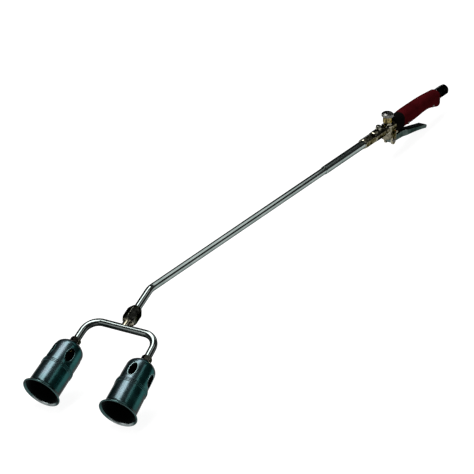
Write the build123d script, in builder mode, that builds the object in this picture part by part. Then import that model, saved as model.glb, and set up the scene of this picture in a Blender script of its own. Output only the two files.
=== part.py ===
"""Twin-bell propane torch: long lance, forked head with two bells, trigger valve and grip.

The parts are drawn in the lance frame: origin where the regulator axis meets the lance
axis, +X along the lance to the hose end, +Z up through the regulator knob. Each finished
piece is then set in the rest pose, with both bell rims and the lever tip on the ground.
"""
from build123d import *
import math
import os

# ---------------------------------------------------------------- driving dimensions
TUBE_R = 6.0            # lance and fork tube outer radius
TUBE_BORE_R = 4.0
LANCE_LENGTH = 780.0    # regulator axis to the bend of the lance
BEND_RADIUS = 26.0
NECK_ANGLE = 25.5       # neck below the lance axis, degrees
NECK_LENGTH = 85.0      # bend point to crossbar axis
BELL_ANGLE = 29.5       # bells below the lance axis, degrees
BELL_SPACING = 122.0    # between the fork corners
TOE_OUT = 2.7           # each leg and bell turned outwards, degrees
FORK_LEG = 39.2         # crossbar axis to the bell's datum, where the leg enters the nut
FORK_RADIUS = 25.0
BELL_LENGTH = 112.4     # end of the fork leg to the mouth
RIM_R = 32.0
CUP_R = 24.6            # rear air cup, at its front end
TUBE_WALL = 1.2         # bell sheet
STEP = 58.0             # end of the fork leg to the rear edge of the flame tube
FLARE = 103.0           # where the flare starts
AIR_HOLE = (12.6, 7.0)  # half length along the bell, half width
SLEEVE_R = 7.0
SLEEVE_START = -219.0
NUT_FLATS = 16.0        # lance nut, across flats
KNOB_X = 2.0            # regulator axis
KNOB_R = 10.2
PIVOT_X = 14.0          # lever pivot
PIVOT_Z = -25.0
PILOT_X = -29.0
LEVER_WIDTH = 10.0
PADDLE_WIDTH = 15.0      # lever behind the grip ferrule
CHEEK_GAP = 10.6         # between the body's cheeks that hold the lever
CHEEK_WALL = 2.7
PLUNGER_X = 30.0
GRIP_START = 44.0
GRIP_END = 174.0
GRIP_WALL = 3.0
HOSE_NUT_END = 210.0
REST_PITCH = 4.955       # degrees about Y that puts rims and lever tip level
REST_SHIFT = (398.73, 0.0, 54.06)

# ---------------------------------------------------------------- directions and points
neck_rad = math.radians(NECK_ANGLE)
bell_rad = math.radians(BELL_ANGLE)
toe_rad = math.radians(TOE_OUT)
NECK_DIR = Vector(-math.cos(neck_rad), 0, -math.sin(neck_rad))
NECK_UP = Vector(-math.sin(neck_rad), 0, math.cos(neck_rad))
BELL_DIR = Vector(-math.cos(bell_rad), 0, -math.sin(bell_rad))
BELL_UP = Vector(-math.sin(bell_rad), 0, math.cos(bell_rad))
BEND = Vector(-LANCE_LENGTH, 0, 0)
TEE = BEND + NECK_DIR * NECK_LENGTH
SIDES = {"left": 1, "right": -1}
HOLE_TURN = {"left": 45.0, "right": 0.0}

LANCE_AXIS = Plane(origin=(0, 0, 0), x_dir=(1, 0, 0), z_dir=(0, 0, 1))
NECK_AXIS = Plane(origin=BEND, x_dir=NECK_DIR, z_dir=NECK_UP)
KNOB_AXIS = Plane(origin=(KNOB_X, 0, 0), x_dir=(0, 0, 1), z_dir=(0, 1, 0))
PLUNGER_AXIS = Plane(origin=(PLUNGER_X, 0, 0), x_dir=(0, 0, 1), z_dir=(0, 1, 0))
PILOT_AXIS = Plane(origin=(PILOT_X, 0, 0), x_dir=(0, 0, 1), z_dir=(0, 1, 0))

pieces = {}


def keep(builder, name):
    """Register a finished piece under its node name."""
    pieces[name] = builder.part


def turn(plane, points, mode=Mode.ADD):
    """Revolve a closed profile of (along, radius) points about the plane's x axis."""
    with BuildSketch(plane) as profile:
        with BuildLine():
            Polyline(*points, close=True)
        make_face()
    revolve(profile.sketch, axis=Axis(plane.origin, plane.x_dir), mode=mode)


def rod(plane, start, end, radius, mode=Mode.ADD):
    """A cylinder along the plane's x axis."""
    turn(plane, [(start, 0), (end, 0), (end, radius), (start, radius)], mode)


def hexagon(plane, start, end, flats):
    """A hexagonal bar along the plane's x axis, corners up and down."""
    across = Plane(plane.origin + plane.x_dir * start, x_dir=plane.z_dir, z_dir=plane.x_dir)
    with BuildSketch(across) as section:
        RegularPolygon(flats / 2, 6, major_radius=False)
    extrude(section.sketch, amount=end - start)


def cone_ends(plane, start, end, corner, flat, run, both=True):
    """Turn the corners off a hexagon, as a chamfered nut has."""
    outline = [(start, 0), (end, 0), (end, corner), (start + run, corner), (start, flat)]
    if both:
        outline[2:3] = [(end, flat), (end - run, corner)]
    turn(plane, outline, Mode.INTERSECT)


def corner_point(side):
    """Virtual corner of the fork, above one bell."""
    return TEE + Vector(0, SIDES[side] * BELL_SPACING / 2, 0)


def leg_direction(side):
    """Direction of one fork leg and its bell."""
    return BELL_DIR * math.cos(toe_rad) + Vector(0, SIDES[side] * math.sin(toe_rad), 0)


def bell_plane(side):
    """Plane whose x axis is the bell axis, from the back of the bell to its mouth."""
    direction = leg_direction(side)
    return Plane(corner_point(side) + direction * FORK_LEG, x_dir=direction, z_dir=BELL_UP)


# ---------------------------------------------------------------- fork and head
fork_ends = {side: corner_point(side) + leg_direction(side) * (FORK_LEG + 15)
             for side in SIDES}
with BuildPart() as fork_tube:
    with BuildLine() as fork_path:
        FilletPolyline(fork_ends["left"], corner_point("left"), corner_point("right"),
                       fork_ends["right"], radius=FORK_RADIUS)
    with BuildSketch(Plane(fork_path.line @ 0, z_dir=fork_path.line % 0)):
        Circle(TUBE_R)
        Circle(TUBE_BORE_R, mode=Mode.SUBTRACT)
    sweep(path=fork_path.line)
    rod(NECK_AXIS, NECK_LENGTH - 8, NECK_LENGTH, 3, Mode.SUBTRACT)
keep(fork_tube, "fork_tube")

with BuildPart() as fork_stub:
    turn(NECK_AXIS, [(58, 4), (58, 9.4), (72, 9.4), (74, 7), (84, 7), (84, 4)])
    crossbar = Plane(TEE, x_dir=(0, 1, 0), z_dir=NECK_DIR)
    rod(crossbar, -20, 20, TUBE_R, Mode.SUBTRACT)
keep(fork_stub, "fork_stub")


def collar_nut(side):
    """Small hexagon nut that clamps the bell to the fork leg."""
    plane = bell_plane(side)
    with BuildPart() as nut:
        hexagon(plane, 2, 12, 15)
        cone_ends(plane, 2, 12, 8.7, 7.4, 1.4, both=False)
        rod(plane, 1, 13, TUBE_R, Mode.SUBTRACT)
    return nut


def jet(side):
    """Brass jet screwed into the end of the fork leg."""
    plane = bell_plane(side)
    with BuildPart() as nozzle:
        turn(plane, [(8, 0.6), (8, 4), (15, 4), (15, 5.6), (23, 5.6), (28, 2.4), (28, 0.6)])
    return nozzle


def rear_cup(side):
    """Deep-drawn air cup: back plate, round shoulder, air holes, plain front edge."""
    plane = bell_plane(side)
    with BuildPart() as cup:
        with BuildSketch(plane) as profile:
            with BuildLine():
                back, shoulder, seam = 12, 28, 46
                outer = CUP_R - 0.7
                inner = outer - TUBE_WALL
                Polyline((back + 1.3, 8.4), (back + 1.3, TUBE_R), (back, TUBE_R), (back, 9))
                Spline((back, 9), (back + 2.6, 14.5), (back + 7.4, 20.2), (shoulder, outer),
                       tangents=[(0.3, 1), (1, 0.12)])
                Polyline((shoulder, outer), (seam, CUP_R), (STEP + 8, CUP_R),
                         (STEP + 8, CUP_R - TUBE_WALL), (seam, CUP_R - TUBE_WALL),
                         (shoulder, inner))
                Spline((shoulder, inner), (back + 8.2, 19.2), (back + 3.8, 14),
                       (back + 1.3, 8.4), tangents=[(-1, -0.12), (-0.3, -1)])
            make_face()
        revolve(profile.sketch, axis=Axis(plane.origin, plane.x_dir))
        for turn_angle in range(0, 360, 90):
            angle = math.radians(turn_angle + HOLE_TURN[side])
            outward = BELL_UP * math.cos(angle) - plane.y_dir * math.sin(angle)
            hole_plane = Plane(plane.origin + plane.x_dir * 43, x_dir=plane.x_dir, z_dir=outward)
            with BuildSketch(hole_plane.offset(15)) as hole:
                Ellipse(*AIR_HOLE)
            extrude(hole.sketch, amount=15, mode=Mode.SUBTRACT)
    return cup


def flame_tube(side):
    """Front tube pushed over the cup, with three bead rings and a flared, rolled rim."""
    plane = bell_plane(side)
    axis = Axis(plane.origin, plane.x_dir)
    with BuildPart() as tube:
        with BuildSketch(plane) as profile:
            with BuildLine():
                Polyline((FLARE, 25.4), (STEP + 10, CUP_R), (STEP, CUP_R),
                         (STEP, CUP_R + TUBE_WALL), (FLARE, 26.6))
                Spline((FLARE, 26.6), (107.5, 28), (BELL_LENGTH - 1.4, RIM_R - 1.2),
                       tangents=[(1, 0.02), (0.7, 1)])
                Line((BELL_LENGTH - 1.4, RIM_R - 1.2), (BELL_LENGTH - 0.6, RIM_R - 2.3))
                Spline((BELL_LENGTH - 0.6, RIM_R - 2.3), (108.6, 27), (FLARE, 25.4),
                       tangents=[(-0.7, -1), (-1, -0.02)])
            make_face()
        revolve(profile.sketch, axis=axis)
        with BuildSketch(plane) as lip:
            with Locations((BELL_LENGTH - 1.3, RIM_R - 1.3)):
                Circle(1.3)
        revolve(lip.sketch, axis=axis)
        for along in (STEP + 3.6, STEP + 6.2, STEP + 8.8):
            with BuildSketch(plane) as bead:
                with Locations((along, CUP_R + TUBE_WALL)):
                    Circle(0.9)
                with Locations((along, CUP_R + 0.5)):
                    Rectangle(3, 1, mode=Mode.SUBTRACT)
            revolve(bead.sketch, axis=axis)
    return tube


def mixing_tube(side):
    """Venturi tube on the bell axis, between the jet and the flame disc."""
    plane = bell_plane(side)
    with BuildPart() as venturi:
        turn(plane, [(31, 10.4), (35, 8.4), (52, 8.4), (72, 10), (72, 8.8), (52, 7.2),
                     (35, 7.2), (31, 9.2)])
    return venturi


def flame_disc(side):
    """Perforated disc that holds the mixing tube and steadies the flame."""
    plane = bell_plane(side)
    face = Plane(plane.origin + plane.x_dir * (STEP + 8), x_dir=BELL_UP, z_dir=plane.x_dir)
    with BuildPart() as disc:
        with BuildSketch(face) as plate:
            Circle(CUP_R)
            with PolarLocations(17, 8):
                Circle(3.2, mode=Mode.SUBTRACT)
        extrude(plate.sketch, amount=1.6)
        turn(plane, [(31, 0), (72, 0), (72, 10), (52, 8.4), (31, 8.4)], Mode.SUBTRACT)
    return disc


for side_name in SIDES:
    keep(collar_nut(side_name), "collar_nut_" + side_name)
    keep(jet(side_name), "jet_" + side_name)
    keep(rear_cup(side_name), "rear_cup_" + side_name)
    keep(flame_tube(side_name), "flame_tube_" + side_name)
    keep(mixing_tube(side_name), "mixing_tube_" + side_name)
    keep(flame_disc(side_name), "flame_disc_" + side_name)

# ---------------------------------------------------------------- lance
with BuildPart() as lance_tube:
    with BuildLine() as lance_path:
        FilletPolyline((-60, 0, 0), BEND, BEND + NECK_DIR * 56, radius=BEND_RADIUS)
    with BuildSketch(Plane(lance_path.line @ 0, z_dir=lance_path.line % 0)):
        Circle(TUBE_R)
        Circle(TUBE_BORE_R, mode=Mode.SUBTRACT)
    sweep(path=lance_path.line)
keep(lance_tube, "lance_tube")

with BuildPart() as lance_sleeve:
    turn(LANCE_AXIS, [(SLEEVE_START, TUBE_R), (SLEEVE_START, 6.4), (SLEEVE_START + 2, SLEEVE_R),
                      (-65, SLEEVE_R), (-65, TUBE_R)])
keep(lance_sleeve, "lance_sleeve")

with BuildPart() as union_ferrule:
    turn(NECK_AXIS, [(50, TUBE_R), (50, 8), (51, 9), (56, 9), (56, TUBE_R)])
keep(union_ferrule, "union_ferrule")

with BuildPart() as union_seal:
    turn(NECK_AXIS, [(56, 4.6), (56, 9), (58, 9), (58, 4.6)])
keep(union_seal, "union_seal")

with BuildPart() as union_nut:
    hexagon(NECK_AXIS, 43, 75, 22)
    cone_ends(NECK_AXIS, 43, 75, 12.4, 8.4, 8)
    turn(NECK_AXIS, [(42, 0), (42, 6.2), (49.8, 6.2), (49.8, 9.4), (76, 9.4), (76, 0)],
         Mode.SUBTRACT)
keep(union_nut, "union_nut")

with BuildPart() as lance_nut:
    hexagon(LANCE_AXIS, -86, -50, NUT_FLATS)
    cone_ends(LANCE_AXIS, -86, -50, 9.1, 7.6, 3)
    turn(LANCE_AXIS, [(-87, 0), (-87, SLEEVE_R), (-64, SLEEVE_R), (-64, 6.8), (-49, 6.8),
                      (-49, 0)], Mode.SUBTRACT)
keep(lance_nut, "lance_nut")

with BuildPart() as lance_olive:
    turn(LANCE_AXIS, [(-65, TUBE_R), (-65, 6.6), (-62, 6.8), (-60, 6.4), (-60, TUBE_R)])
keep(lance_olive, "lance_olive")

# ---------------------------------------------------------------- valve
with BuildPart() as valve_body:
    turn(LANCE_AXIS, [(-60, 0), (-60, 6.8), (-50, 6.8), (-50, 8), (-49, 9), (-40, 9.4),
                      (-18, 9.4), (-16, 8.4), (-12, 7.8), (-8, 8.4), (10, 9.2), (36, 9.2),
                      (38, 8.6), (38, 5), (42, 5), (42, 0)])
    rod(KNOB_AXIS, -19, 5, 9.6)
    fillet(valve_body.faces().filter_by(Axis.Z).sort_by(Axis.Z)[0].edges(), 2.5)
    rod(PLUNGER_AXIS, -12, 0, 7)
    rod(PILOT_AXIS, 0, 11, 5)
    # flat land under the regulator gland
    with BuildSketch(Plane.XY.offset(5)) as land:
        with Locations((KNOB_X, 0)):
            Rectangle(22, 24)
    extrude(land.sketch, amount=10, mode=Mode.SUBTRACT)
    # two cheeks that carry the lever pin
    for cheek_plane in (Plane.XZ.offset(CHEEK_GAP / 2),
                        Plane.XZ.offset(-CHEEK_GAP / 2 - CHEEK_WALL)):
        with BuildSketch(cheek_plane) as cheek:
            with Locations((PIVOT_X, PIVOT_Z)):
                Circle(7)
            with Locations((PIVOT_X, (PIVOT_Z - 4) / 2)):
                Rectangle(14, -PIVOT_Z - 4)
        extrude(cheek.sketch, amount=CHEEK_WALL)
    # gas way, spindle bore, plunger chamber, pilot bore, pin hole
    rod(LANCE_AXIS, -61, 45, 3, Mode.SUBTRACT)
    rod(KNOB_AXIS, -6, 6, 3.5, Mode.SUBTRACT)
    rod(PLUNGER_AXIS, -13, 5, 5.2, Mode.SUBTRACT)
    rod(PILOT_AXIS, 2, 12, 3, Mode.SUBTRACT)
    with BuildSketch(Plane.XZ) as pin_hole:
        with Locations((PIVOT_X, PIVOT_Z)):
            Circle(2)
    extrude(pin_hole.sketch, amount=10, both=True, mode=Mode.SUBTRACT)
keep(valve_body, "valve_body")

with BuildPart() as pilot_screw:
    turn(PILOT_AXIS, [(3, 0), (3, 0.5), (6, 2.95), (11.3, 2.95), (11.3, 4.6), (14.2, 4.6),
                      (15, 3.8), (15, 0)])
    with BuildSketch(Plane.XY.offset(13.6)) as slot:
        with Locations((PILOT_X, 0)):
            Rectangle(12, 1.2)
    extrude(slot.sketch, amount=3, mode=Mode.SUBTRACT)
keep(pilot_screw, "pilot_screw")

with BuildPart() as gland_nut:
    hexagon(KNOB_AXIS, 5, 9.6, 13)
    cone_ends(KNOB_AXIS, 5, 9.6, 7.5, 6.4, 1)
    rod(KNOB_AXIS, 2.5, 6, 3.5)
    rod(KNOB_AXIS, 2, 11, 2.05, Mode.SUBTRACT)
keep(gland_nut, "gland_nut")

with BuildPart() as gland_packing:
    turn(KNOB_AXIS, [(0.8, 2.05), (0.8, 3.5), (2.5, 3.5), (2.5, 2.05)])
keep(gland_packing, "gland_packing")

with BuildPart() as spindle:
    turn(KNOB_AXIS, [(-6, 0), (-2.6, 2), (22, 2), (22, 0)])
keep(spindle, "spindle")

with BuildPart() as regulator_skirt:
    turn(KNOB_AXIS, [(10.2, 2.6), (10.2, 7), (11, 7.6), (20, 7.6), (20, 2.6)])
keep(regulator_skirt, "regulator_skirt")

with BuildPart() as regulator_knob:
    turn(KNOB_AXIS, [(20, 2.02), (20, 8.2), (21.4, KNOB_R), (25.6, KNOB_R), (27.6, 8), (27.6, 3),
                     (22.6, 3), (22.6, 2.02)])
    with BuildSketch(Plane.XY.offset(19)) as flutes:
        with Locations((KNOB_X, 0)):
            with PolarLocations(KNOB_R + 0.5, 24):
                Circle(0.8)
    extrude(flutes.sketch, amount=9, mode=Mode.SUBTRACT)
    rod(KNOB_AXIS, 19, 22.6, 2.02, Mode.SUBTRACT)
keep(regulator_knob, "regulator_knob")

with BuildPart() as knob_screw:
    turn(KNOB_AXIS, [(22.6, 0), (22.6, 2.7), (26, 2.7), (26.8, 1.8), (26.8, 0)])
    with BuildSketch(Plane.XY.offset(26)) as slot:
        with Locations((KNOB_X, 0)):
            Rectangle(7, 0.8)
    extrude(slot.sketch, amount=2, mode=Mode.SUBTRACT)
keep(knob_screw, "knob_screw")

with BuildPart() as plunger_bush:
    turn(PLUNGER_AXIS, [(-17, 2.55), (-17, 5.6), (-16.4, 6.2), (-12, 6.2), (-12, 5.2),
                        (-8.2, 5.2), (-8.2, 2.55)])
keep(plunger_bush, "plunger_bush")

with BuildPart() as plunger:
    turn(PLUNGER_AXIS, [(-20.7, 0), (-20.4, 1.4), (-19.6, 2.5), (-8, 2.5), (-8, 4.6), (-5, 4.6),
                        (-5, 0)])
keep(plunger, "plunger")

with BuildPart() as valve_spring:
    with BuildLine(Plane((PLUNGER_X, 0, -4.6))) as coil:
        Helix(pitch=1.9, height=9.2, radius=3.8)
    with BuildSketch(Plane(coil.line @ 0, z_dir=coil.line % 0)):
        Circle(0.4)
    sweep(path=coil.line)
keep(valve_spring, "valve_spring")

# ---------------------------------------------------------------- lever
LEVER_TOP = [(14, -20.2), (30, -21), (50, -21), (72, -24.4), (104, -30.9), (132, -36.4)]
LEVER_UNDER = [(132, -42.8), (106, -37.9), (72, -33.4), (40, -31), (14, -30)]
with BuildPart() as lever:
    with BuildSketch(Plane.XZ) as side_shape:
        with BuildLine():
            Spline(*LEVER_TOP)
            Spline(LEVER_TOP[-1], (134.4, -39.4), LEVER_UNDER[0])
            Spline(*LEVER_UNDER)
            Line(LEVER_UNDER[-1], LEVER_TOP[0])
        make_face()
        with Locations((PIVOT_X, PIVOT_Z)):
            Circle(5)
    extrude(side_shape.sketch, amount=PADDLE_WIDTH / 2, both=True)
    top_edges = lever.edges().filter_by(Axis.Y, reverse=True).filter_by_position(
        Axis.X, 55, 95)
    fillet(top_edges.sort_by(Axis.Z)[-2:], 1)
    # narrow root between the cheeks
    with BuildSketch() as waist:
        with BuildLine():
            Polyline((0, LEVER_WIDTH / 2), (50, LEVER_WIDTH / 2), (64, PADDLE_WIDTH / 2),
                     (64, 12), (0, 12), (0, LEVER_WIDTH / 2))
        make_face()
        mirror(about=Plane.XZ)
    extrude(waist.sketch, amount=60, both=True, mode=Mode.SUBTRACT)
    # pressed channel, open below
    with BuildSketch(Plane.XZ) as root_channel:
        Polygon((21, -22.9), (50, -22.9), (64, -25), (64, -50), (21, -50), align=None)
    extrude(root_channel.sketch, amount=LEVER_WIDTH / 2 - 1.4, both=True, mode=Mode.SUBTRACT)
    with BuildSketch(Plane.XZ) as paddle_channel:
        Polygon((62, -24.7), (72, -26.2), (104, -32.8), (127, -37.4), (127, -50), (62, -50),
                align=None)
    extrude(paddle_channel.sketch, amount=PADDLE_WIDTH / 2 - 1.4, both=True, mode=Mode.SUBTRACT)
    with BuildSketch(Plane.XZ) as lever_hole:
        with Locations((PIVOT_X, PIVOT_Z)):
            Circle(2.05)
    extrude(lever_hole.sketch, amount=10, both=True, mode=Mode.SUBTRACT)
keep(lever, "lever")

PIN_AXIS = Plane(origin=(PIVOT_X, 0, PIVOT_Z), x_dir=(0, 1, 0), z_dir=(0, 0, 1))
with BuildPart() as lever_pin:
    turn(PIN_AXIS, [(-9.6, 0), (-9.6, 2.4), (-8.1, 3.2), (-8.1, 2), (9.6, 2), (9.6, 0)])
keep(lever_pin, "lever_pin")

with BuildPart() as lever_pin_clip:
    turn(PIN_AXIS, [(8.1, 2), (8.1, 3.8), (8.9, 3.8), (8.9, 2)])
keep(lever_pin_clip, "lever_pin_clip")

# ---------------------------------------------------------------- grip
GRIP_SECTIONS = [
    # along X, centre height, half height, half width
    (20.0, -0.8, 13.0, 10.8),
    (GRIP_START, -0.4, 14.6, 11.4),
    (80.0, 0.6, 14.8, 11.8),
    (110.0, 1.4, 13.8, 11.6),
    (134.0, 1.2, 13.2, 11.4),
    (154.0, -1.0, 13.8, 11.6),
    (GRIP_END, -4.2, 15.6, 11.8),
]


def grip_loft(sections, wall, mode=Mode.ADD):
    """Loft rounded sections along X, set in by a wall."""
    faces = []
    for x, centre, half_height, half_width in sections:
        plane = Plane((x, 0, centre), x_dir=(0, 1, 0), z_dir=(1, 0, 0))
        with BuildSketch(plane) as section:
            corner = min(half_width, half_height) - wall - 1.2
            RectangleRounded(2 * (half_width - wall), 2 * (half_height - wall), corner)
        faces.append(section.sketch)
    loft(faces, mode=mode)


with BuildPart() as grip_ferrule:
    grip_loft(GRIP_SECTIONS[:2], 0)
    chamfer(grip_ferrule.faces().sort_by(Axis.X)[0].edges(), 1.6)
    rod(LANCE_AXIS, 19, 38, 9.3, Mode.SUBTRACT)
    rod(LANCE_AXIS, 38, 45, 5.4, Mode.SUBTRACT)
    # slot under the valve for the plunger and the root of the lever
    with BuildSketch(Plane.XZ) as plunger_slot:
        Polygon((19, -30), (40, -30), (38, -5), (19, -5), align=None)
    extrude(plunger_slot.sketch, amount=8.4, both=True, mode=Mode.SUBTRACT)
keep(grip_ferrule, "grip_ferrule")


GRIP_SCREWS = {
    "front": Plane(origin=(62, 0, -8.6), x_dir=(0, 1, 0), z_dir=(0, 0, 1)),
    "rear": Plane(origin=(152, 0, -8.9), x_dir=(0, 1, 0), z_dir=(0, 0, 1)),
}


def grip_shell(side):
    """Half of the moulded grip, hollow, with bosses for the two screws."""
    with BuildPart() as shell:
        grip_loft(GRIP_SECTIONS[1:], 0)
        top_edge = shell.edges().filter_by_position(Axis.X, GRIP_END - 0.1, GRIP_END + 0.1)
        chamfer(top_edge, 1.5)
        inside = [(x + shift, c, h, w) for (x, c, h, w), shift
                  in zip(GRIP_SECTIONS[1:], (2, 0, 0, 0, 0, -4))]
        grip_loft(inside, GRIP_WALL, Mode.SUBTRACT)
        for screw_axis in GRIP_SCREWS.values():
            rod(screw_axis, -9.5, 9.5, 3.4)
            rod(screw_axis, -9, 7.4, 1.6, Mode.SUBTRACT)
            rod(screw_axis, -13, -9, 2.8, Mode.SUBTRACT)
        rod(LANCE_AXIS, GRIP_START - 1, GRIP_END + 1, 6.2, Mode.SUBTRACT)
        split(bisect_by=Plane.XZ, keep=Keep.BOTTOM if side == "left" else Keep.TOP)
    return shell


def grip_screw(end):
    """Pan head screw that draws the two grip shells together."""
    with BuildPart() as screw:
        turn(GRIP_SCREWS[end], [(-10.8, 0), (-10.8, 1.8), (-10.2, 2.6), (-9, 2.6), (-9, 1.5),
                                (6.6, 1.5), (7.2, 0.8), (7.2, 0)])
        with BuildSketch(Plane.XZ.offset(10)) as cross:
            with Locations((GRIP_SCREWS[end].origin.X, GRIP_SCREWS[end].origin.Z)):
                Rectangle(3.2, 0.7)
                Rectangle(0.7, 3.2)
        extrude(cross.sketch, amount=2, mode=Mode.SUBTRACT)
    return screw


for side_name in SIDES:
    keep(grip_shell(side_name), "grip_shell_" + side_name)
for end_name in GRIP_SCREWS:
    keep(grip_screw(end_name), "grip_screw_" + end_name)

with BuildPart() as gas_pipe:
    turn(LANCE_AXIS, [(42, 3), (42, 5), (168, 5), (168, 3)])
keep(gas_pipe, "gas_pipe")

with BuildPart() as inlet_nipple:
    turn(LANCE_AXIS, [(166, 5), (166, 6.2), (186, 6.2), (186, 7), (189, 7), (189, 3),
                      (168, 3), (168, 5)])
keep(inlet_nipple, "inlet_nipple")

with BuildPart() as hose_nut_clip:
    turn(LANCE_AXIS, [(174.6, 6.2), (174.6, 7.6), (175.4, 7.6), (175.4, 6.2)])
keep(hose_nut_clip, "hose_nut_clip")

with BuildPart() as hose_nut:
    hexagon(LANCE_AXIS, 176, HOSE_NUT_END, 17)
    cone_ends(LANCE_AXIS, 176, HOSE_NUT_END, 9.6, 8, 2.5)
    turn(LANCE_AXIS, [(175, 0), (175, 6.5), (185.6, 6.5), (185.6, 7.3), (189.4, 7.3),
                      (189.4, 7.6), (HOSE_NUT_END + 1, 7.6), (HOSE_NUT_END + 1, 0)], Mode.SUBTRACT)
keep(hose_nut, "hose_nut")

# ---------------------------------------------------------------- rest pose and export
REST = Location(REST_SHIFT, (0, REST_PITCH, 0))
os.makedirs("parts", exist_ok=True)
for name, shape in pieces.items():
    placed = shape.moved(REST)
    placed.label = name
    export_step(placed, "parts/" + name + ".step")
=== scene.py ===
import bpy
import bmesh
import math
from mathutils import Matrix, Vector


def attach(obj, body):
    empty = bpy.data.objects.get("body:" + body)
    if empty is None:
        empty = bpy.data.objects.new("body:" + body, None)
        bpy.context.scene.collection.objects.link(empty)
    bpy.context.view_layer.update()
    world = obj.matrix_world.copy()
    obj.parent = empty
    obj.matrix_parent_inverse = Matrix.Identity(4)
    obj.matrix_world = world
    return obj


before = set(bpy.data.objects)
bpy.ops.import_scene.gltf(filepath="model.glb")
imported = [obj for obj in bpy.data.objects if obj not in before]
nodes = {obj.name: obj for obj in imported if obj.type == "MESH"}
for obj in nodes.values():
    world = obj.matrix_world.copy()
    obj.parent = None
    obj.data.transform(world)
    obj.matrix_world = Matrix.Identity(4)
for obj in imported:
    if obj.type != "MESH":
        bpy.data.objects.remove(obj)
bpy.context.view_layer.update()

# ------------------------------------------------------------------ lance frame to row frame
PITCH = math.radians(4.955)
SHIFT = Vector((0.39873, 0.0, 0.05406))
REST = Matrix.Translation(SHIFT) @ Matrix.Rotation(PITCH, 4, "Y")
NECK = math.radians(25.5)
BELL = math.radians(29.5)
TOE = math.radians(2.7)
LANCE_LENGTH = 0.780
NECK_LENGTH = 0.085
FORK_HALF_WIDTH = 0.061
FORK_LEG = 0.0392
TEE = Vector((-LANCE_LENGTH - NECK_LENGTH * math.cos(NECK), 0, -NECK_LENGTH * math.sin(NECK)))
BELL_DIR = Vector((-math.cos(BELL), 0, -math.sin(BELL)))
SIDES = {"left": 1, "right": -1}
HOLE_TURN = {"left": 45.0, "right": 0.0}

# along the axis of a bell, from where the fork leg enters its nut
HEAT_FADE = (0.090, 0.112)
LIP_START = 0.1098
LIP_FADE = (0.1080, 0.1096)
CUP_SHOULDER = 0.028
CUP_SEAM = 0.046


def turned(direction):
    """A direction given in the lance frame, in the row frame."""
    return REST.to_3x3() @ Vector(direction)


def leg_direction(side):
    """Direction of one fork leg and its bell, in the lance frame."""
    return BELL_DIR * math.cos(TOE) + Vector((0, SIDES[side] * math.sin(TOE), 0))


def bell_origin(side):
    """Datum of one bell, where the fork leg enters its nut."""
    corner = TEE + Vector((0, SIDES[side] * FORK_HALF_WIDTH, 0))
    return REST @ (corner + leg_direction(side) * FORK_LEG)


BELL_AXIS = {side: turned(leg_direction(side)) for side in SIDES}
BELL_UP = turned((-math.sin(BELL), 0, math.cos(BELL)))

# ------------------------------------------------------------------ camera
CAMERA_ROWS = ((0.49207, -0.87023, 0.02385), (-0.33571, -0.21496, -0.91711),
               (0.80323, 0.44327, -0.39792))
CAMERA_OFFSET = Vector((0.249391, -0.181520, 8.342221))
FOCAL_PIXELS = 5000.0
IMAGE_SIDE = 474.0

rows = Matrix(CAMERA_ROWS)
place = -(rows.transposed() @ CAMERA_OFFSET)
turn = Matrix((rows[0], -rows[1], -rows[2])).transposed()
camera_data = bpy.data.cameras.new("camera")
camera_data.sensor_width = 36.0
camera_data.lens = 36.0 * FOCAL_PIXELS / IMAGE_SIDE
camera_data.clip_end = 100.0
camera = bpy.data.objects.new("camera", camera_data)
camera.matrix_world = REST @ Matrix.Translation(place) @ turn.to_4x4()
bpy.context.scene.collection.objects.link(camera)
bpy.context.scene.camera = camera
bpy.context.scene.view_settings.view_transform = "Standard"


# ------------------------------------------------------------------ node helpers
def set_stops(elements, stops):
    """Give a colour ramp its stops, each a position and a colour."""
    while len(elements) < len(stops):
        elements.new(0.5)
    for element, (position, colour) in zip(elements, stops):
        element.position = position
        element.color = (*colour, 1.0)


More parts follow.
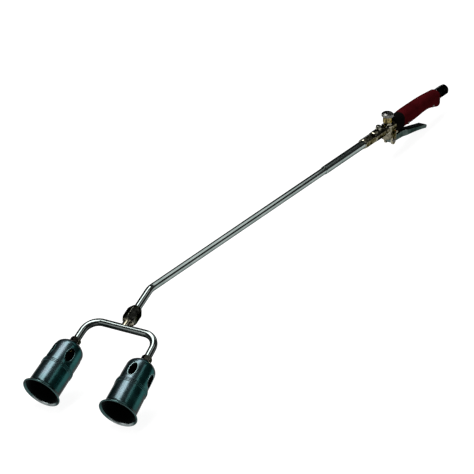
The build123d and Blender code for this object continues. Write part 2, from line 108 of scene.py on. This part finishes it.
class Shader:
    """A Principled material and short calls to build its node tree."""

    def __init__(self, name):
        self.material = bpy.data.materials.new(name)
        self.material.use_nodes = True
        self.tree = self.material.node_tree
        self.shader = self.tree.nodes["Principled BSDF"]
        self.position = self.node("ShaderNodeTexCoord").outputs["Object"]

    def node(self, kind, **settings):
        made = self.tree.nodes.new(kind)
        for key, value in settings.items():
            setattr(made, key, value)
        return made

    def join(self, output, target):
        self.tree.links.new(output, target)

    def set(self, **values):
        for key, value in values.items():
            self.shader.inputs[key.replace("_", " ")].default_value = value

    def noise(self, scale, detail, rough=0.55):
        texture = self.node("ShaderNodeTexNoise")
        texture.inputs["Scale"].default_value = scale
        texture.inputs["Detail"].default_value = detail
        texture.inputs["Roughness"].default_value = rough
        self.join(self.position, texture.inputs["Vector"])
        return texture.outputs["Fac"]

    def ramp(self, factor, *stops):
        ramp = self.node("ShaderNodeValToRGB")
        set_stops(ramp.color_ramp.elements, stops)
        self.join(factor, ramp.inputs["Fac"])
        return ramp.outputs["Color"]

    def span(self, factor, low, high, to_low, to_high):
        made = self.node("ShaderNodeMapRange")
        for key, value in (("From Min", low), ("From Max", high),
                           ("To Min", to_low), ("To Max", to_high)):
            made.inputs[key].default_value = value
        self.join(factor, made.inputs["Value"])
        return made.outputs["Result"]

    def math(self, operation, a, b, clamp=False):
        made = self.node("ShaderNodeMath", operation=operation, use_clamp=clamp)
        for index, value in enumerate((a, b)):
            if isinstance(value, (int, float)):
                made.inputs[index].default_value = value
            else:
                self.join(value, made.inputs[index])
        return made.outputs[0]

    def vector(self, operation, a, b=None, scale=None, output=0):
        made = self.node("ShaderNodeVectorMath", operation=operation)
        for index, value in enumerate((a, b)):
            if value is None:
                continue
            if isinstance(value, (tuple, Vector)):
                made.inputs[index].default_value = tuple(value)
            else:
                self.join(value, made.inputs[index])
        if scale is not None:
            self.join(scale, made.inputs["Scale"])
        return made.outputs[output]

    def mix(self, factor, a, b):
        made = self.node("ShaderNodeMix", data_type="RGBA")
        self.join(factor, made.inputs["Factor"])
        for index, value in ((6, a), (7, b)):
            if isinstance(value, tuple):
                made.inputs[index].default_value = (*value, 1.0)
            else:
                self.join(value, made.inputs[index])
        return made.outputs[2]

    def edges(self, radius):
        """1 along sharp edges and 0 on open surfaces."""
        rounded = self.node("ShaderNodeBevel", samples=6)
        rounded.inputs["Radius"].default_value = radius
        flat = self.node("ShaderNodeNewGeometry").outputs["Normal"]
        match = self.vector("DOT_PRODUCT", rounded.outputs["Normal"], flat, output=1)
        return self.span(match, 0.985, 0.90, 0.0, 1.0)

    def colour(self, output):
        self.join(output, self.shader.inputs["Base Color"])

    def roughness(self, output):
        self.join(output, self.shader.inputs["Roughness"])

    def bump(self, height, strength, distance):
        made = self.node("ShaderNodeBump")
        made.inputs["Strength"].default_value = strength
        made.inputs["Distance"].default_value = distance
        self.join(height, made.inputs["Height"])
        self.join(made.outputs["Normal"], self.shader.inputs["Normal"])


def metal(name, dark, light, rough=(0.15, 0.35), scale=60.0, grain=900.0, bump=0.08,
          edge=None, edge_width=0.0008, tarnish_and_shade=None):
    """Metal with clouded colour, uneven polish, fine machining marks and sharp edges painted
    lighter, as painted edge highlight and partly rubbed wear.

    The darkening function gives a factor from 0 (darkest: heat tarnish on the neck, painted shade
    under the fork) to 1 (clean)."""
    made = Shader(name)
    made.set(Metallic=1.0, Specular_Tint=(0.02, 0.025, 0.024, 1.0))
    clouds = made.noise(scale, 5.0)
    tone = made.ramp(clouds, (0.32, dark), (0.68, light))
    # Sharp edges painted lighter: painted edge highlight, partly also rubbed wear.
    if edge:
        tone = made.mix(made.edges(edge_width), tone, edge)
    if tarnish_and_shade:
        tone = made.vector("SCALE", tone, scale=tarnish_and_shade(made))
    made.colour(tone)
    fine = made.noise(grain, 3.0, 0.6)
    blend = made.math("ADD", made.math("MULTIPLY", clouds, 0.6),
                      made.math("MULTIPLY", fine, 0.4))
    made.roughness(made.span(blend, 0.3, 0.7, *rough))
    made.bump(fine, bump, 0.0002)
    return made.material


def plastic(name, dark, light):
    """Moulded plastic with a fine spark-eroded grain and rubbed patches."""
    made = Shader(name)
    made.set(Specular_IOR_Level=0.0)
    clouds = made.noise(28.0, 4.0)
    made.colour(made.ramp(clouds, (0.3, dark), (0.72, light)))
    made.roughness(made.span(clouds, 0.3, 0.7, 0.32, 0.5))
    made.bump(made.noise(1400.0, 2.0, 0.5), 0.25, 0.00015)
    return made.material


def bell_metal(name, side):
    """Heat-blued sheet, sooty inside; paler along the top and pale on the inner lip at the bottom
    of the mouth, both painted highlight; sharp edges painted lighter, as painted edge highlight
    and partly rubbed wear.
    """
    made = Shader(name)
    made.set(Coat_Roughness=0.2, Coat_IOR=1.3, Specular_IOR_Level=0.3,
             Specular_Tint=(0.03, 0.12, 0.12, 1.0))
    offset = made.vector("SUBTRACT", made.position, bell_origin(side))
    along = made.vector("DOT_PRODUCT", offset, BELL_AXIS[side], output=1)
    on_axis = made.node("ShaderNodeVectorMath", operation="SCALE")
    on_axis.inputs[0].default_value = tuple(BELL_AXIS[side])
    made.join(along, on_axis.inputs["Scale"])
    radial = made.vector("SUBTRACT", offset, on_axis.outputs[0])
    outward = made.vector("NORMALIZE", radial)
    normal = made.node("ShaderNodeNewGeometry").outputs["Normal"]
    facing = made.vector("DOT_PRODUCT", normal, outward, output=1)
    inside = made.math("MULTIPLY", made.math("LESS_THAN", facing, -0.05),
                       made.math("LESS_THAN", along, LIP_START))
    clouds = made.noise(42.0, 6.0, 0.6)
    blued = made.ramp(clouds, (0.28, (0.009, 0.052, 0.053)), (0.5, (0.014, 0.078, 0.076)),
                      (0.75, (0.024, 0.105, 0.098)))
    # Paler steel along the top of the bell, where it faces the overhead lamp: painted highlight
    # band.
    upper = made.vector("DOT_PRODUCT", outward, BELL_UP, output=1)
    painted_top_highlight = made.math("MULTIPLY", made.span(upper, 0.78, 0.97, 0.0, 1.0),
                     made.span(clouds, 0.25, 0.6, 0.55, 1.0))
    sheet = made.mix(painted_top_highlight, blued, (0.060, 0.082, 0.094))
    heat = made.span(along, *HEAT_FADE, 0.0, 0.6)
    tinted = made.mix(heat, sheet, (0.014, 0.028, 0.026))
    lip = made.span(along, *LIP_FADE, 0.0, 1.0)
    lipped = made.mix(lip, tinted, (0.036, 0.074, 0.072))
    # Pale steel on the inner side of the lip at the bottom of the mouth, where it faces the
    # overhead lamp: painted highlight.
    mouth_edge = made.math("MULTIPLY", made.math("LESS_THAN", facing, -0.2),
                           made.math("GREATER_THAN", along, LIP_START))
    painted_lip_highlight = made.math("MULTIPLY", mouth_edge, made.span(upper, -0.60, -0.92, 0.0, 1.0))
    lip_highlight_painted = made.mix(painted_lip_highlight, lipped, (0.30, 0.34, 0.34))
    # Sharp edges painted lighter: painted edge highlight on hole and seam edges, partly also
    # rubbed wear.
    edge_highlight_and_wear = made.mix(made.edges(0.0007), lip_highlight_painted, (0.115, 0.150, 0.150))
    made.colour(made.mix(inside, edge_highlight_and_wear, (0.0012, 0.0011, 0.0014)))
    fine = made.noise(1100.0, 3.0, 0.6)
    polish = made.span(clouds, 0.3, 0.7, 0.20, 0.32)
    made.roughness(made.math("ADD", polish, made.math("MULTIPLY", inside, 0.6), clamp=True))
    made.join(made.math("SUBTRACT", 0.96, made.math("MULTIPLY", inside, 0.9)),
              made.shader.inputs["Metallic"])
    made.join(made.math("SUBTRACT", 0.32, made.math("MULTIPLY", inside, 0.3)),
              made.shader.inputs["Coat Weight"])
    made.bump(fine, 0.05, 0.0002)
    return made.material


NECK_HEAT_FADE = (-0.385, -0.366)   # along X, at the bend


def burner_heat(made):
    """Chrome dulled by heat on the neck, past the bend."""
    split = made.node("ShaderNodeSeparateXYZ")
    made.join(made.position, split.inputs[0])
    return made.span(split.outputs["X"], *NECK_HEAT_FADE, 0.5, 1.0)


def painted_underside_shade(made):
    """Chrome darkened where it faces down, on the underside of the fork: painted shade."""
    split = made.node("ShaderNodeSeparateXYZ")
    made.join(made.node("ShaderNodeNewGeometry").outputs["Normal"], split.inputs[0])
    return made.span(split.outputs["Z"], -0.05, 0.6, 0.10, 1.0)


# The fork chrome is darkened on its downward-facing side: painted shade.
fork_chrome = metal("fork_chrome", (0.13, 0.155, 0.148), (0.22, 0.25, 0.24), rough=(0.07, 0.16),
                    scale=22.0, grain=700.0, bump=0.04, tarnish_and_shade=painted_underside_shade)
chrome = metal("chrome", (0.26, 0.31, 0.295), (0.38, 0.43, 0.415), rough=(0.06, 0.14), scale=22.0,
               grain=700.0, bump=0.04, tarnish_and_shade=burner_heat)
nickel = metal("nickel", (0.012, 0.011, 0.005), (0.24, 0.225, 0.165), rough=(0.08, 0.24),
               scale=150.0, edge=(0.74, 0.71, 0.57), edge_width=0.0015)
dark_nickel = metal("dark_nickel", (0.008, 0.009, 0.007), (0.105, 0.110, 0.092),
                    rough=(0.10, 0.26), scale=110.0, edge=(0.30, 0.29, 0.23), edge_width=0.0012)
brass = metal("brass", (0.024, 0.017, 0.003), (0.30, 0.24, 0.10), rough=(0.16, 0.34),
              scale=220.0)
steel = metal("steel", (0.040, 0.040, 0.036), (0.17, 0.17, 0.16), rough=(0.2, 0.4), scale=110.0,
              edge=(0.42, 0.42, 0.40))
lever_steel = metal("lever_steel", (0.045, 0.062, 0.057), (0.15, 0.185, 0.172),
                    rough=(0.24, 0.4), scale=35.0, edge=(0.24, 0.29, 0.27))
black_steel = metal("black_steel", (0.004, 0.0045, 0.0045), (0.014, 0.015, 0.015),
                    rough=(0.14, 0.3), edge=(0.16, 0.17, 0.165), edge_width=0.0012)
soot_steel = metal("soot_steel", (0.003, 0.003, 0.003), (0.02, 0.018, 0.016), rough=(0.5, 0.8))
red_plastic = plastic("red_plastic", (0.030, 0.0022, 0.0030), (0.062, 0.0045, 0.0058))
black_plastic = plastic("black_plastic", (0.0018, 0.0016, 0.0016), (0.0050, 0.0040, 0.0040))
seal = plastic("seal", (0.006, 0.006, 0.006), (0.03, 0.03, 0.03))

paint = (
    (chrome, ("lance_tube", "lance_sleeve")),
    (fork_chrome, ("fork_tube",)),
    (nickel, ("fork_stub", "lance_nut", "valve_body", "gland_nut", "plunger_bush")),
    (dark_nickel, ("union_nut", "pilot_screw", "collar_nut_left", "collar_nut_right")),
    (brass, ("union_ferrule", "lance_olive", "regulator_skirt", "jet_left", "jet_right",
             "gas_pipe", "inlet_nipple")),
    (steel, ("spindle", "regulator_knob", "knob_screw", "plunger", "valve_spring", "lever_pin",
             "lever_pin_clip", "hose_nut_clip", "grip_screw_front", "grip_screw_rear")),
    (lever_steel, ("lever",)),
    (black_steel, ("hose_nut",)),
    (soot_steel, ("mixing_tube_left", "mixing_tube_right", "flame_disc_left",
                  "flame_disc_right")),
    (red_plastic, ("grip_shell_left", "grip_shell_right")),
    (black_plastic, ("grip_ferrule",)),
    (seal, ("union_seal", "gland_packing")),
)


def cover(name, material):
    """Give a CAD node one material."""
    nodes[name].data.materials.clear()
    nodes[name].data.materials.append(material)


for material, names in paint:
    for name in names:
        cover(name, material)
for side in SIDES:
    skin = bell_metal("blued_steel_" + side, side)
    cover("rear_cup_" + side, skin)
    cover("flame_tube_" + side, skin)

# ------------------------------------------------------------------ rolled edges of the air holes
CUP_RADIUS = 0.0246
HOLE_CENTRE = 0.043
HOLE_HALF_LENGTH = 0.0127
HOLE_HALF_WIDTH = 0.0071
CUP_TAPER = 0.0006       # from the seam back to the shoulder
RIM_INSET = 0.0004       # rim centre below the cup's surface
RIM_THICKNESS = 0.0009
RIM_STEPS = 72
RIM_SIDES = 10

# The right bell's hole rims are much paler than the left's: painted highlight on the right rims.
rim_metal_with_painted_highlight = {"left": metal("rim_steel_left", (0.02, 0.05, 0.05), (0.06, 0.10, 0.10)),
             "right": metal("rim_steel_right_painted_highlight", (0.10, 0.17, 0.17), (0.26, 0.36, 0.36))}


def hole_rim_point(side, turn_angle, t):
    """A point on the edge of one air hole, and the direction out of the cup there."""
    axis = BELL_AXIS[side]
    across = axis.cross(BELL_UP)
    sweep_angle = math.asin(HOLE_HALF_WIDTH * math.sin(t) / CUP_RADIUS) + turn_angle
    outward = BELL_UP * math.cos(sweep_angle) + across * math.sin(sweep_angle)
    along = HOLE_CENTRE + HOLE_HALF_LENGTH * math.cos(t)
    taper = CUP_TAPER * max(0.0, CUP_SEAM - along) / (CUP_SEAM - CUP_SHOULDER)
    lift = CUP_RADIUS - RIM_INSET - taper
    return bell_origin(side) + axis * along + outward * lift, outward


def hole_rims(side):
    """Four rolled edges, one round each air hole of a bell."""
    mesh = bmesh.new()
    for quarter in range(4):
        turn_angle = math.radians(90 * quarter + HOLE_TURN[side])
        rings = []
        for step in range(RIM_STEPS):
            t = 2 * math.pi * step / RIM_STEPS
            centre, outward = hole_rim_point(side, turn_angle, t)
            ahead = hole_rim_point(side, turn_angle, t + 0.01)[0]
            forward = (ahead - centre).normalized()
            beside = forward.cross(outward).normalized()
            ring = []
            for corner in range(RIM_SIDES):
                angle = 2 * math.pi * corner / RIM_SIDES
                offset = beside * math.cos(angle) + outward * math.sin(angle)
                ring.append(mesh.verts.new(centre + offset * RIM_THICKNESS))
            rings.append(ring)
        for ring, following in zip(rings, rings[1:] + rings[:1]):
            for corner in range(RIM_SIDES):
                beyond = (corner + 1) % RIM_SIDES
                mesh.faces.new((ring[corner], ring[beyond], following[beyond],
                                following[corner]))
    bmesh.ops.recalc_face_normals(mesh, faces=mesh.faces)
    data = bpy.data.meshes.new("air_hole_rims_" + side)
    mesh.to_mesh(data)
    mesh.free()
    data.polygons.foreach_set("use_smooth", [True] * len(data.polygons))
    rims = bpy.data.objects.new("air_hole_rims_" + side, data)
    bpy.context.scene.collection.objects.link(rims)
    rims.data.materials.append(rim_metal_with_painted_highlight[side])
    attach(rims, "torch")


for side in SIDES:
    hole_rims(side)

# ------------------------------------------------------------------ floor and light
FLOOR_LEVEL = -0.0005
floor_mesh = bpy.data.meshes.new("floor")
grid = bmesh.new()
bmesh.ops.create_grid(grid, x_segments=1, y_segments=1, size=14.0)
grid.to_mesh(floor_mesh)
grid.free()
floor = bpy.data.objects.new("floor", floor_mesh)
bpy.context.scene.collection.objects.link(floor)
floor.location.z = FLOOR_LEVEL
paper = Shader("floor_paper")
paper.set(Roughness=0.9, Specular_IOR_Level=0.0, Emission_Strength=0.93,
          Emission_Color=(1.0, 1.0, 1.0, 1.0))
paper.colour(paper.ramp(paper.noise(3.0, 2.0), (0.3, (0.19, 0.19, 0.19)),
                        (0.7, (0.21, 0.21, 0.21))))
floor.data.materials.append(paper.material)


def softbox(name, where, aim, size, power):
    """A rectangular area light aimed at a point."""
    data = bpy.data.lights.new(name, "AREA")
    data.shape = "RECTANGLE"
    data.size, data.size_y = size
    data.energy = power
    light = bpy.data.objects.new(name, data)
    light.location = where
    light.rotation_euler = (Vector(aim) - Vector(where)).to_track_quat("-Z", "Y").to_euler()
    bpy.context.scene.collection.objects.link(light)


softbox("overhead", (-0.2, 0.72, 3.0), (-0.2, 0.0, 0.0), (4.0, 1.1), 108)
softbox("fork_panel", (-0.35, 1.62, 2.75), (-0.45, 0.0, 0.08), (1.3, 0.55), 16)
softbox("back_panel", (1.6, 0.1, 1.29), (-0.4, 0, 0.1), (1.6, 0.62), 4.1)
softbox("left_panel", (-2.9, 1.2, 0.75), (-0.48, 0, 0.09), (1.5, 0.8), 6.5)
softbox("front_strip", (-0.2, -1.7, 2.5), (-0.57, 0, 0.04), (2.0, 0.5), 5.5)

world = bpy.data.worlds.new("studio")
world.use_nodes = True
bpy.context.scene.world = world
sky = world.node_tree
background = sky.nodes["Background"]
background.inputs["Strength"].default_value = 1.0
direction = sky.nodes.new("ShaderNodeTexCoord")
split = sky.nodes.new("ShaderNodeSeparateXYZ")
gradient = sky.nodes.new("ShaderNodeValToRGB")
sky.links.new(direction.outputs["Generated"], split.inputs[0])
sky.links.new(split.outputs["Z"], gradient.inputs["Fac"])
sky.links.new(gradient.outputs["Color"], background.inputs["Color"])
greys = ((0.0, 0.02), (0.18, 0.03), (0.4, 0.06), (1.0, 0.09))
set_stops(gradient.color_ramp.elements, [(height, (grey,) * 3) for height, grey in greys])
